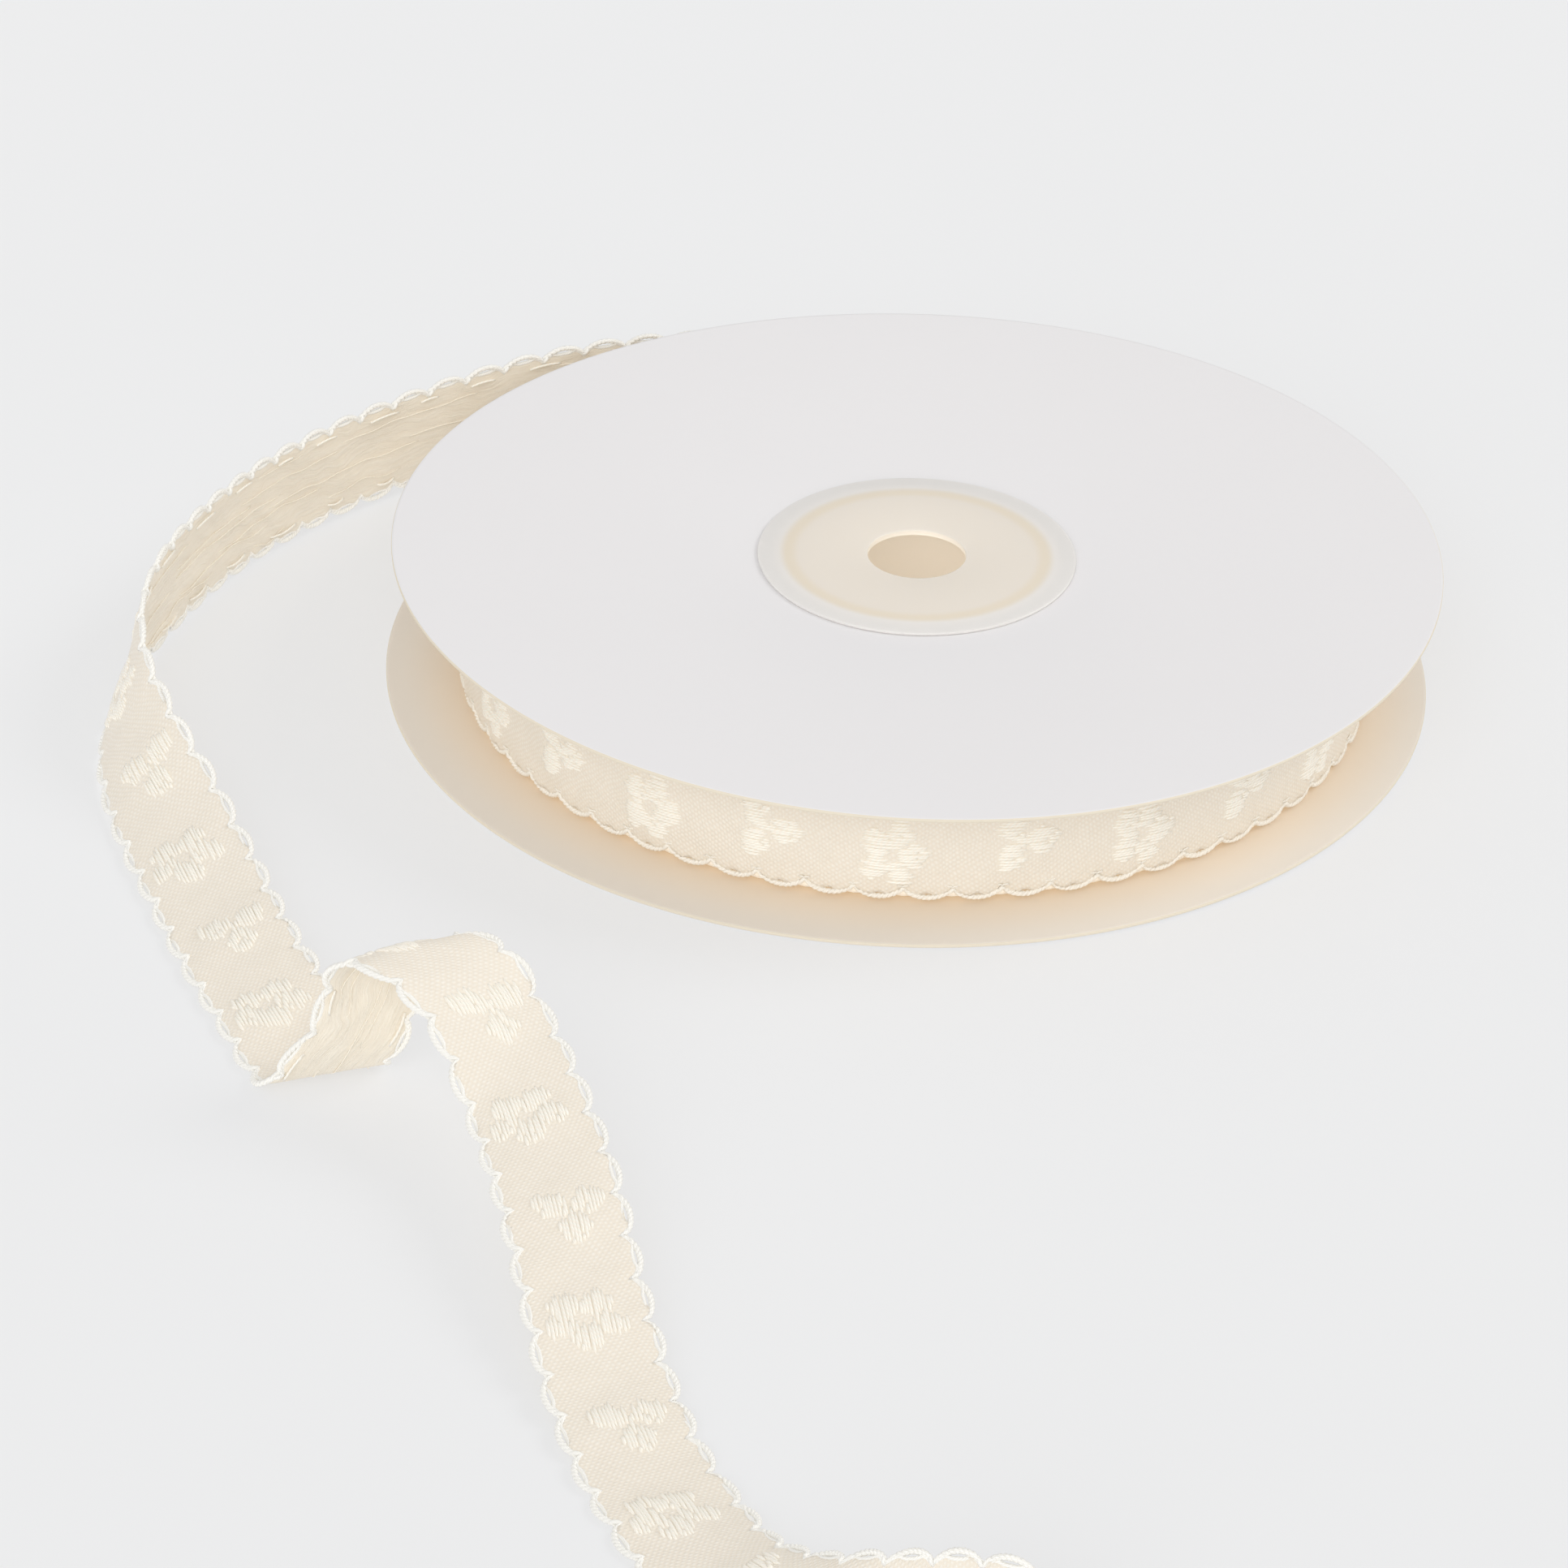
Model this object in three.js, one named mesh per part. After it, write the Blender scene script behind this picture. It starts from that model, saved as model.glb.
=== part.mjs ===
// Spool of scallop-edged gift ribbon with its loose end run out over the table.
// Millimetres, +Z up. Everything is laid out about the spool's axis with the table at z = 0,
// and the whole is then set so that its origin is at the bottom centre of its box.
import * as THREE from 'three';

// Card discs
const CARD_RADIUS = 50;
const CARD_THICKNESS = 0.4;
const CARD_HOLE_RADIUS = 13.6;
const CARD_STEPS = 72;
const CARD_BANDS = [CARD_HOLE_RADIUS, 15.6, 26, 38, CARD_RADIUS];

// Hub: a hollow drum between two thin plates, bored through for a spindle
const HUB_HEIGHT = 12.35;
const HUB_STEPS = 48;
const BORE_RADIUS = 4.7;
const PLATE_RADIUS = 15.2;
const PLATE_THICKNESS = 0.5;
const DRUM_RADIUS = 12.6;
const DRUM_WALL = 1.4;

// Clearance between pieces that touch
const GAP = 0.3;

// Lower card: off centre on the hub's plate, drooping to the table and lifting a little at one side
const LOWER_OFFSET = new THREE.Vector2(-0.66, -0.11);
const LOWER_RIM_UNDERSIDE = 0.15;
const LOWER_LIFT = 0.35;
const LOWER_LIFT_ANGLE = THREE.MathUtils.degToRad(-25);
const LOWER_LIFT_FALLOFF = 4;

// Upper card: dished up from the hub's plate, with a slight tilt and a slight saddle at its rim
const UPPER_RIM_TOP = 13.41;
const UPPER_TILT = new THREE.Vector2(-0.39, -0.45);
const UPPER_SADDLE = new THREE.Vector2(0.26, 0.23);

// Ribbon: width from loop tip to loop tip, and the scallops along both edges
const RIBBON_THICKNESS = 1;
const SCALLOP_PITCH = 4.5;
const SCALLOP_DEPTH = 0.8;
const STEPS_PER_SCALLOP = 4;

// Wound ribbon: radius and height of the flat sides of the winding, which follow the cards
const ROLL_RADIUS = 43.7;
const ROLL_LAST_TURN = 0.8;
const ROLL_SHOULDER = 0.2;
const ROLL_SCALLOPS = 61;
const ROLL_TIPS = { bottom: 1.4, top: 11.85 };
const ROLL_SIDES = [
  { radius: DRUM_RADIUS + GAP, bottom: 1.55, top: 10.7 },
  { radius: 26, bottom: 1.65, top: 11.3 },
  { radius: ROLL_RADIUS - ROLL_LAST_TURN - ROLL_SHOULDER, bottom: 1.8, top: 11.5 },
];

// Loose end: where its two edges lie at each bend. The high edge is the upper one while it stands.
const TAIL_BENDS = [
  { at: 'leaves the roll', high: [6.2, 44.2, 11.95], low: [6.2, 44.2, 1.0] },
  { at: 'under the card', high: [-7.0, 46.0, 11.95], low: [-7.0, 46.0, 1.0] },
  { at: 'clears the rim', high: [-20.5, 46.6, 11.95], low: [-20.5, 46.6, 1.0] },
  { at: 'stands', high: [-34.5, 42.5, 12.05], low: [-34.5, 42.6, 1.0] },
  { at: 'swings round', high: [-51.0, 31.2, 12.0], low: [-51.1, 31.6, 0.9] },
  { at: 'left side', high: [-64.6, 15.5, 12.0], low: [-64.9, 16.1, 0.8] },
  { at: 'leftmost', high: [-72.2, -4.0, 12.0], low: [-73.4, -3.6, 0.7] },
  { at: 'leans out', high: [-71.8, -17.4, 11.4], low: [-76.0, -17.0, 0.7] },
  { at: 'tips over', high: [-68.6, -25.6, 9.7], low: [-75.6, -26.6, 0.7] },
  { at: 'sinks', high: [-63.6, -34.0, 6.6], low: [-72.8, -37.0, 0.7] },
  { at: 'lies down', high: [-58.8, -44.4, 4.6], low: [-68.8, -47.5, 0.7] },
  { at: 'lies on', high: [-55.0, -54.0, 4.1], low: [-65.0, -57.2, 0.7] },
  { at: 'nears the crease', high: [-50.9, -62.6, 3.6], low: [-60.9, -66.2, 0.7] },
  { at: 'into the crease', high: [-46.8, -69.2, 1.9], low: [-57.5, -73.8, 0.8] },
  { at: 'crease', high: [-45.1, -71.6, 1.2], low: [-56.2, -76.0, 1.5] },
  { at: 'out of the crease', high: [-43.9, -72.8, 3.4], low: [-54.5, -75.8, 3.6] },
  { at: 'climbs', high: [-42.3, -71.8, 7.2], low: [-51.9, -74.4, 6.8] },
  { at: 'near the crest', high: [-40.8, -70.8, 10.9], low: [-51.0, -74.2, 10.5] },
  { at: 'onto the crest', high: [-39.4, -70.2, 13.1], low: [-50.0, -75.0, 12.8] },
  { at: 'crest', high: [-37.6, -70.5, 13.9], low: [-48.0, -76.4, 13.9] },
  { at: 'over the crest', high: [-34.4, -71.8, 13.2], low: [-44.8, -78.6, 13.4] },
  { at: 'starts down', high: [-31.3, -75.9, 10.2], low: [-41.4, -81.6, 11.2] },
  { at: 'slopes', high: [-28.0, -84.0, 8.7], low: [-38.0, -88.2, 7.2] },
  { at: 'slopes on', high: [-24.5, -94.6, 6.6], low: [-35.1, -97.6, 5.8] },
  { at: 'nears the table', high: [-22.1, -104.6, 3.9], low: [-32.7, -107.6, 4.2] },
  { at: 'touches down', high: [-19.2, -115.6, 1.6], low: [-30.0, -118.6, 1.8] },
  { at: 'lies flat', high: [-15.8, -125.2, 0.9], low: [-26.6, -128.6, 0.8] },
  { at: 'turns', high: [-13.2, -130.8, 1.4], low: [-24.4, -133.4, 0.7] },
  { at: 'lifts one edge', high: [-11.0, -136.4, 3.0], low: [-21.6, -139.2, 0.7] },
  { at: 'banks', high: [-7.6, -141.8, 6.0], low: [-16.0, -146.0, 0.7] },
  { at: 'hump', high: [-2.6, -146.0, 9.8], low: [-7.6, -150.4, 0.7] },
  { at: 'stands again', high: [4.0, -147.8, 11.4], low: [3.4, -151.6, 0.7] },
  { at: 'end', high: [12.0, -149.4, 10.4], low: [12.4, -153.8, 0.7] },
];
const TAIL_CURVE = 'centripetal';
const TAIL_SAMPLES = 1200;

// A closed skin over sections of equal length. A ring joins its last section to its first,
// and an open run is capped at both ends.
function skin(sections, isRing) {
  const across = sections[0].length;
  const rows = isRing ? sections.length : sections.length - 1;
  const faces = [];
  for (let i = 0; i < rows; i += 1) {
    const here = i * across;
    const ahead = ((i + 1) % sections.length) * across;
    for (let j = 0; j < across; j += 1) {
      const next = (j + 1) % across;
      faces.push(here + j, ahead + j, ahead + next);
      faces.push(here + j, ahead + next, here + next);
    }
  }
  const last = (sections.length - 1) * across;
  for (let j = 1; !isRing && j < across - 1; j += 1) {
    faces.push(0, j, j + 1);
    faces.push(last, last + j + 1, last + j);
  }
  const positions = sections.flat().flatMap((point) => point.toArray());
  const geometry = new THREE.BufferGeometry();
  geometry.setAttribute('position', new THREE.Float32BufferAttribute(positions, 3));
  geometry.setIndex(faces);
  geometry.computeVertexNormals();
  return geometry;
}

// A point at a radius, angle and height about the axis
function polar(radius, angle, height) {
  return new THREE.Vector3(radius * Math.cos(angle), radius * Math.sin(angle), height);
}

// How far the edge draws in between two loop tips, from 1 in the notch to 0 at the tip
function notch(step) {
  return 1 - Math.sin((Math.PI * (step % STEPS_PER_SCALLOP)) / STEPS_PER_SCALLOP);
}

// Share of the way from the hub's plate out to a card's rim
function outward(radius) {
  return Math.max(0, (radius - CARD_BANDS[1]) / (CARD_RADIUS - CARD_BANDS[1]));
}

// Height of each card's underside, from the heights near the hub and at the rim
function lowerUnderside(radius, angle) {
  const nearHub = PLATE_THICKNESS + GAP;
  const toward = Math.max(0, Math.cos(angle - LOWER_LIFT_ANGLE));
  const lift = LOWER_LIFT * toward ** LOWER_LIFT_FALLOFF;
  return THREE.MathUtils.lerp(nearHub, LOWER_RIM_UNDERSIDE + lift, outward(radius));
}

function upperUnderside(radius, angle) {
  const nearHub = HUB_HEIGHT - PLATE_THICKNESS - GAP - CARD_THICKNESS;
  const tilt = UPPER_TILT.x * Math.cos(angle) + UPPER_TILT.y * Math.sin(angle);
  const saddle = UPPER_SADDLE.x * Math.cos(2 * angle) + UPPER_SADDLE.y * Math.sin(2 * angle);
  const rim = UPPER_RIM_TOP + tilt + saddle - CARD_THICKNESS;
  return THREE.MathUtils.lerp(nearHub, rim, 1 - (1 - outward(radius)) ** 2);
}

// A thin ring of card whose two faces follow one height function
function cardDisc(underside, offset) {
  const sections = [];
  for (let i = 0; i < CARD_STEPS; i += 1) {
    const angle = (2 * Math.PI * i) / CARD_STEPS;
    const below = CARD_BANDS.map((radius) => polar(radius, angle, underside(radius, angle)));
    const above = below.map((point) => point.clone().setZ(point.z + CARD_THICKNESS)).reverse();
    const section = [...below, ...above];
    section.forEach((point) => point.add(new THREE.Vector3(offset.x, offset.y, 0)));
    sections.push(section);
  }
  return skin(sections, true);
}

// Drum and plates turned from one outline, its inside open to both bores
function hubBody() {
  const inside = DRUM_RADIUS - DRUM_WALL;
  const top = HUB_HEIGHT;
  const outline = [
    [BORE_RADIUS, 0],
    [PLATE_RADIUS, 0],
    [PLATE_RADIUS, PLATE_THICKNESS],
    [DRUM_RADIUS, PLATE_THICKNESS],
    [DRUM_RADIUS, top - PLATE_THICKNESS],
    [PLATE_RADIUS, top - PLATE_THICKNESS],
    [PLATE_RADIUS, top],
    [BORE_RADIUS, top],
    [BORE_RADIUS, top - PLATE_THICKNESS],
    [inside, top - PLATE_THICKNESS],
    [inside, PLATE_THICKNESS],
    [BORE_RADIUS, PLATE_THICKNESS],
  ];
  const sections = [];
  for (let i = 0; i < HUB_STEPS; i += 1) {
    const angle = (2 * Math.PI * i) / HUB_STEPS;
    sections.push(outline.map(([radius, height]) => polar(radius, angle, height)));
  }
  return skin(sections, true);
}

// The wound form: flat sides that follow the cards, and a last turn with scalloped edges
function woundRibbon() {
  const steps = ROLL_SCALLOPS * STEPS_PER_SCALLOP;
  const innerEdge = ROLL_RADIUS - ROLL_LAST_TURN;
  const sections = [];
  for (let i = 0; i < steps; i += 1) {
    const angle = (2 * Math.PI * i) / steps;
    const inset = SCALLOP_DEPTH * notch(i);
    const bottom = ROLL_TIPS.bottom + inset;
    const top = ROLL_TIPS.top - inset;
    const lastTurn = [
      polar(innerEdge, angle, bottom),
      polar(ROLL_RADIUS, angle, bottom),
      polar(ROLL_RADIUS, angle, top),
      polar(innerEdge, angle, top),
    ];
    const below = ROLL_SIDES.map((side) => polar(side.radius, angle, side.bottom));
    const above = ROLL_SIDES.map((side) => polar(side.radius, angle, side.top)).reverse();
    sections.push([...below, ...lastTurn, ...above]);
  }
  return skin(sections, true);
}

// Curve parameters that cut the middle of the loose end into equal lengths, a few to a scallop
function evenSteps(high, low) {
  const middle = (t) => high.getPoint(t).lerp(low.getPoint(t), 0.5);
  const lengths = [0];
  for (let i = 1; i <= TAIL_SAMPLES; i += 1) {
    const stride = middle(i / TAIL_SAMPLES).distanceTo(middle((i - 1) / TAIL_SAMPLES));
    lengths.push(lengths[i - 1] + stride);
  }
  const total = lengths[TAIL_SAMPLES];
  const steps = Math.round(total / SCALLOP_PITCH) * STEPS_PER_SCALLOP;
  const parameters = [];
  let sample = 0;
  for (let i = 0; i <= steps; i += 1) {
    const target = (total * i) / steps;
    while (sample < TAIL_SAMPLES - 1 && lengths[sample + 1] < target) sample += 1;
    const part = (target - lengths[sample]) / (lengths[sample + 1] - lengths[sample]);
    parameters.push((sample + part) / TAIL_SAMPLES);
  }
  return parameters;
}

// The loose end: a sheet between its two edge curves, drawn in between the loop tips
function looseEnd() {
  const edge = (side) => {
    const points = TAIL_BENDS.map((bend) => new THREE.Vector3(...bend[side]));
    return new THREE.CatmullRomCurve3(points, false, TAIL_CURVE);
  };
  const high = edge('high');
  const low = edge('low');
  const parameters = evenSteps(high, low);
  const rows = parameters.map((t) => ({ high: high.getPoint(t), low: low.getPoint(t) }));
  const middles = rows.map((row) => row.high.clone().lerp(row.low, 0.5));
  const lastRow = rows.length - 1;
  const sections = rows.map((row, i) => {
    const ahead = middles[Math.min(i + 1, lastRow)];
    const along = ahead.clone().sub(middles[Math.max(i - 1, 0)]);
    const across = row.high.clone().sub(row.low).normalize();
    const halfThick = along.cross(across).normalize().multiplyScalar(RIBBON_THICKNESS / 2);
    const inset = across.multiplyScalar(SCALLOP_DEPTH * notch(i));
    const upper = row.high.clone().sub(inset);
    const lower = row.low.clone().add(inset);
    return [
      lower.clone().add(halfThick),
      upper.clone().add(halfThick),
      upper.clone().sub(halfThick),
      lower.clone().sub(halfThick),
    ];
  });
  return skin(sections, false);
}

// A named piece with its own material
function piece(name, geometry, color, roughness) {
  const material = new THREE.MeshStandardMaterial({ color, roughness, metalness: 0 });
  const mesh = new THREE.Mesh(geometry, material);
  mesh.name = name;
  return mesh;
}

const CARD_WHITE = 0xe9e6e5;
const HUB_FROST = 0xe8e2da;
const RIBBON_CREAM = 0xefe5d0;

const spool = new THREE.Group();
spool.add(
  piece('flange_lower', cardDisc(lowerUnderside, LOWER_OFFSET), CARD_WHITE, 0.7),
  piece('flange_upper', cardDisc(upperUnderside, new THREE.Vector2()), CARD_WHITE, 0.7),
  piece('hub', hubBody(), HUB_FROST, 0.35),
  piece('ribbon_roll', woundRibbon(), RIBBON_CREAM, 0.6),
  piece('ribbon_tail', looseEnd(), RIBBON_CREAM, 0.6),
);

// Origin at the bottom centre of the box around everything
const box = new THREE.Box3().setFromObject(spool);
const centre = box.getCenter(new THREE.Vector3());
spool.position.set(-centre.x, -centre.y, -box.min.z);

export default spool;
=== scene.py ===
# Looks of the spool of gift ribbon: card discs, frosted hub, wound ribbon and its loose end.
# Lengths below are in millimetres about the spool's axis, with the table at height 0.
import math

import bpy
import numpy as np
from mathutils import Matrix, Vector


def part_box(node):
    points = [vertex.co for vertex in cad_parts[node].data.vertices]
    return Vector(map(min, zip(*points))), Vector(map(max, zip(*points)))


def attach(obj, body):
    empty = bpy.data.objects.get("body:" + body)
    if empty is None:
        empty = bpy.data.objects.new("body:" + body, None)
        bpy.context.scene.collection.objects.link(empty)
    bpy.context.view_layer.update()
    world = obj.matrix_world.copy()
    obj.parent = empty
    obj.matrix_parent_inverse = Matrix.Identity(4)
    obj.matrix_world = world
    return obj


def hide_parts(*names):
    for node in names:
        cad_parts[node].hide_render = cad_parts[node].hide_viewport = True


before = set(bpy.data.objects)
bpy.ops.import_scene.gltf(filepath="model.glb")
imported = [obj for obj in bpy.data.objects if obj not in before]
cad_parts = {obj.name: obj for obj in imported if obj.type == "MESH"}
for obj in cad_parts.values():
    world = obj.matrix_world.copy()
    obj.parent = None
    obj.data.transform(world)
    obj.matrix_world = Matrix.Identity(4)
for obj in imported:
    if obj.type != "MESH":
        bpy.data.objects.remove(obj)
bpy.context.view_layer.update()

MM = 0.001
hub_low, hub_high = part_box("hub")
AXIS = np.array([(hub_low.x + hub_high.x) / 2, (hub_low.y + hub_high.y) / 2, 0.0]) / MM

# Photo's frame and camera
FRAME_PIXELS = 1932
FOCAL_PIXELS = 7000
SENSOR = 36.0
CAMERA_PLACE = (-12.09, -473.66, 276.45)
CAMERA_ELEVATION = math.radians(31.498)
CAMERA_ROLL = math.radians(1.494)
CAMERA_REACH = (10.0, 20000.0)

# Card discs
CARD_RADIUS = 50.0
CARD_HOLE = 13.6
CARD_FLAT = 15.6
CARD_THICKNESS = 0.33
CARD_ROUND = 0.05
CARD_TRIM = 6 * CARD_ROUND
CARD_BANDS = (14.5, 49.0, 26)
CARD_STEPS = 288
LOWER_OFFSET = (-0.66, -0.11)
LOWER_HEIGHT_NEAR_HUB = 0.8
LOWER_RIM_UNDERSIDE = 0.15
LOWER_LIFT = 0.35
LOWER_LIFT_ANGLE = math.radians(-25)
LOWER_LIFT_FALLOFF = 4
UPPER_OFFSET = (0.0, 0.0)
UPPER_HEIGHT_NEAR_HUB = 11.69
UPPER_RIM_TOP = 13.41
UPPER_TILT = (-0.39, -0.45)
UPPER_SADDLE = (0.26, 0.23)

# Hub
HUB_HEIGHT = 12.35
BORE_RADIUS = 4.7
PLATE_RADIUS = 15.2
PLATE_THICKNESS = 0.6
PLATE_ROUND = 0.1
FLANGE_THICKNESS = 0.3
DRUM_RADIUS = 12.6
DRUM_WALL = 1.4
HUB_STEPS = 160
HUB_UNROLL_RADIUS = 10.0

# Ribbon: cord loops along both edges, each from one knot to the next. The ground has a slit in
# each loop, with a depth, and a reach as a share of the loop
RIBBON_WIDTH = 11.0
RIBBON_THICKNESS = 0.4
GRID_STEP = 0.25
SHEET_COLUMNS = 25
LOOP_PITCH = 4.5
KNOT_ACROSS = 4.05
TIP_ACROSS = 5.25
LOOP_ROUNDNESS = 0.5
TAIL_SLIT = (0.42, 0.21)
ROLL_SLIT = (0.34, 0.12)
TABLE_GAP = 0.3

# Relief of the ground: a puff at each ornament, a ripple everywhere and a wave at the edges
ORNAMENT_RELIEF = 0.2
BACK_SHARE_OF_RELIEF = 0.4
RIPPLE_HEIGHT = 0.05
RIPPLE_ALONG = 0.83
RIPPLE_START = 1.7
RIPPLE_ACROSS = 0.7
RIPPLE_SLANT = 0.21
EDGE_WAVE = 0.1

# Edge cords, with knots where the two plies cross and dive into the ground
STRAND_RADIUS = 0.2
STRAND_OFFSET = 0.1
TWIST_PITCH = 0.9
KNOT_SPREAD = 0.09
KNOT_DIVE = 0.16
KNOT_PINCH = 0.6
TAIL_CORD_STEPS = 34
ROLL_CORD_STEPS = 30
ROLL_CORD_TRIM = 0.97

# Selvedge strands, and the gathers that fan from each knot: lean along and reach across
SELVEDGE_RADIUS = 0.2
SELVEDGE_INSET = 0.1
SELVEDGE_STEPS = 14
GATHERS = ((-0.6, 0.12), (0.7, 0.16))
GATHER_END = 1
GATHER_LEAN_SPREAD = (0.8, 1.1)
GATHER_RADIUS = 0.1
GATHER_START = 0.05
GATHER_BACK = 0.12
GATHER_BOW = 0.1
GATHER_SINK = 0.02
GATHER_RISE = 0.08

# Ornament, and the raised satin threads that fill it
ORNAMENT_PITCH = 11.6
ORNAMENT_RADIUS = 3.35
ORNAMENT_STRETCH = 1.12
ORNAMENT_ZIGZAG = 0.6
PETALS = 5
PETAL_NOTCH = 0.38
FLOWER_EYE = 0.6
LEAF_TURNS = (0.0, 2.1, -2.1)
LEAF_MIDDLE = 0.56 * ORNAMENT_RADIUS
LEAF_HALF_WIDTH = 0.42 * ORNAMENT_RADIUS
SATIN_HALF = 3.55
SATIN_STEP = 0.1
SATIN_END = 1.0
THREAD_RADIUS = 0.18
THREAD_PITCH = 0.29
THREAD_LENGTH = (1.6, 4.5)
THREAD_LEAST = 0.35
THREAD_REST = 0.6
THREAD_GAP = 0.05
THREAD_JITTER = 0.35
THREAD_WANDER = 0.05
THREAD_BOW = 0.04
THREAD_SINK = 0.08
THREAD_RISE = (0.06, 0.12)

# Back: long loose threads that waver, more so low down, and short bright stitches by both edges
BACK_HALF = 3.6
BACK_PITCH = 0.8
BACK_RADIUS = 0.055
BACK_LENGTH = (6, 24)
BACK_FIRST_GAP = (0, 30)
BACK_GAP = (12, 44)
BACK_STEP = 1.1
BACK_SINK = 0.03
BACK_RISE = (0.05, 0.12)
BACK_WAVER = (0.12, 0.42)
BACK_WAVER_PLACES = (0.5, -3.5)
BACK_SWAYS = ((1.0, 0.35, 0.7), (0.5, 0.9, 1.4))
BACK_SWAY_START = (0, 6)
BACK_END = 3
BACK_END_CLEAR = 0.6
STITCH_ACROSS = 3.7
STITCH_JITTER = 0.15
STITCH_BOW = 0.2
STITCH_LENGTH = (1.8, 4.4)
STITCH_GAP = (2.5, 5.5)
STITCH_RADIUS = 0.12
STITCH_START = 0.02
STITCH_RISE = 0.14
STITCH_END = 4

# Wound ribbon
ROLL_RADIUS = 43.7
ROLL_MIDDLE = ROLL_RADIUS - RIBBON_THICKNESS / 2
ROLL_SCALLOPS = 61
ROLL_CENTRE_HEIGHT = 6.55
ROLL_ORNAMENT_START = 0.9
ROLL_LOOP_START = -1.8
ROLL_SAMPLES = 1500
ROLL_SEED = 11
ROLL_SEAM = 1.0
TAIL_LEAVES = math.radians(82)

# Turns behind the last one: heights of their edges by radius, and the ridge that each edge makes
TURN_PITCH = 0.6
TURN_CLEARANCE = 0.05
TURNS_OUTER = ROLL_RADIUS - RIBBON_THICKNESS - TURN_CLEARANCE
SEEN_TURNS = 14
TURN_RADII = (12.9, 26.0, 42.7)
TURN_TOPS = (10.0, 10.6, 10.9)
TURN_BOTTOMS = (2.3, 2.05, 1.85)
TURN_RIDGE = ((0.0, 0.35), (0.12, 1.0), (0.33, 0.95), (0.48, 0.1))
TURN_SHIFT = 2.4
RIDGE_HEIGHT = 0.25
RIDGE_SCALLOP = 0.45
ROLL_INNER = 12.9
ROLL_INNER_HEIGHTS = (10.2, 2.1)

# How the loose end comes out from under the last turn, by angle before the place where it leaves
LEAD_ANGLE = 0.9
LEAD_END = 0.004
LEAD_STEPS = 100
LEAD_SWAP = (0.75, 0.45)
LEAD_DEPTH = 0.55
LEAD_MERGE = (0.42, 0.0)

# Loose end: where its two edges lie at each bend, the same bends as the solid follows
TAIL_BENDS = [
    ("leaves the roll", (6.2, 44.2, 11.95), (6.2, 44.2, 1.0)),
    ("under the card", (-7.0, 46.0, 11.95), (-7.0, 46.0, 1.0)),
    ("clears the rim", (-20.5, 46.6, 11.95), (-20.5, 46.6, 1.0)),
    ("stands", (-34.5, 42.5, 12.05), (-34.5, 42.6, 1.0)),
    ("swings round", (-51.0, 31.2, 12.0), (-51.1, 31.6, 0.9)),
    ("left side", (-64.6, 15.5, 12.0), (-64.9, 16.1, 0.8)),
    ("leftmost", (-72.2, -4.0, 12.0), (-73.4, -3.6, 0.7)),
    ("leans out", (-71.8, -17.4, 11.4), (-76.0, -17.0, 0.7)),
    ("tips over", (-68.6, -25.6, 9.7), (-75.6, -26.6, 0.7)),
    ("sinks", (-63.6, -34.0, 6.6), (-72.8, -37.0, 0.7)),
    ("lies down", (-58.8, -44.4, 4.6), (-68.8, -47.5, 0.7)),
    ("lies on", (-55.0, -54.0, 4.1), (-65.0, -57.2, 0.7)),
    ("nears the crease", (-50.9, -62.6, 3.6), (-60.9, -66.2, 0.7)),
    ("into the crease", (-46.8, -69.2, 1.9), (-57.5, -73.8, 0.8)),
    ("crease", (-45.1, -71.6, 1.2), (-56.2, -76.0, 1.5)),
    ("out of the crease", (-43.9, -72.8, 3.4), (-54.5, -75.8, 3.6)),
    ("climbs", (-42.3, -71.8, 7.2), (-51.9, -74.4, 6.8)),
    ("near the crest", (-40.8, -70.8, 10.9), (-51.0, -74.2, 10.5)),
    ("onto the crest", (-39.4, -70.2, 13.1), (-50.0, -75.0, 12.8)),
    ("crest", (-37.6, -70.5, 13.9), (-48.0, -76.4, 13.9)),
    ("over the crest", (-34.4, -71.8, 13.2), (-44.8, -78.6, 13.4)),
    ("starts down", (-31.3, -75.9, 10.2), (-41.4, -81.6, 11.2)),
    ("slopes", (-28.0, -84.0, 8.7), (-38.0, -88.2, 7.2)),
    ("slopes on", (-24.5, -94.6, 6.6), (-35.1, -97.6, 5.8)),
    ("nears the table", (-22.1, -104.6, 3.9), (-32.7, -107.6, 4.2)),
    ("touches down", (-19.2, -115.6, 1.6), (-30.0, -118.6, 1.8)),
    ("lies flat", (-15.8, -125.2, 0.9), (-26.6, -128.6, 0.8)),
    ("turns", (-13.2, -130.8, 1.4), (-24.4, -133.4, 0.7)),
    ("lifts one edge", (-11.0, -136.4, 3.0), (-21.6, -139.2, 0.7)),
    ("banks", (-7.6, -141.8, 6.0), (-16.0, -146.0, 0.7)),
    ("hump", (-2.6, -146.0, 9.8), (-7.6, -150.4, 0.7)),
    ("stands again", (4.0, -147.8, 11.4), (3.4, -151.6, 0.7)),
    ("end", (12.0, -149.4, 10.4), (12.4, -153.8, 0.7)),
]
TAIL_SAMPLES = 6000
TAIL_ORNAMENT_START = 0.0
TAIL_YARNS_START = 1.0
TAIL_SEED = 7

# Past the roll the loose end settles a little back and down, and its pattern shifts at the left bend
SETTLE_DROP = 0.4
SETTLE_BACK = 0.6
SETTLE_PLACES = (20, 70)
PATTERN_SHIFT = 4.5
PATTERN_SHIFT_PLACES = (61, 103, 165)

# Colours of cloth: its light threads and a darker tone painted as shade low between them, and those
# under the ornament
FRONT = ((0.925, 0.875, 0.785), (0.825, 0.738, 0.614), (0.885, 0.812, 0.695))
BACK = ((0.93, 0.865, 0.745), (0.885, 0.795, 0.655))
CLOTH_SHEEN = 0.15
# Painted glow of the front and back: a faint light of the cloth's own, standing in for light passing
# through it
FRONT_GLOW = 0.03
BACK_GLOW = 0.04
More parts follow.
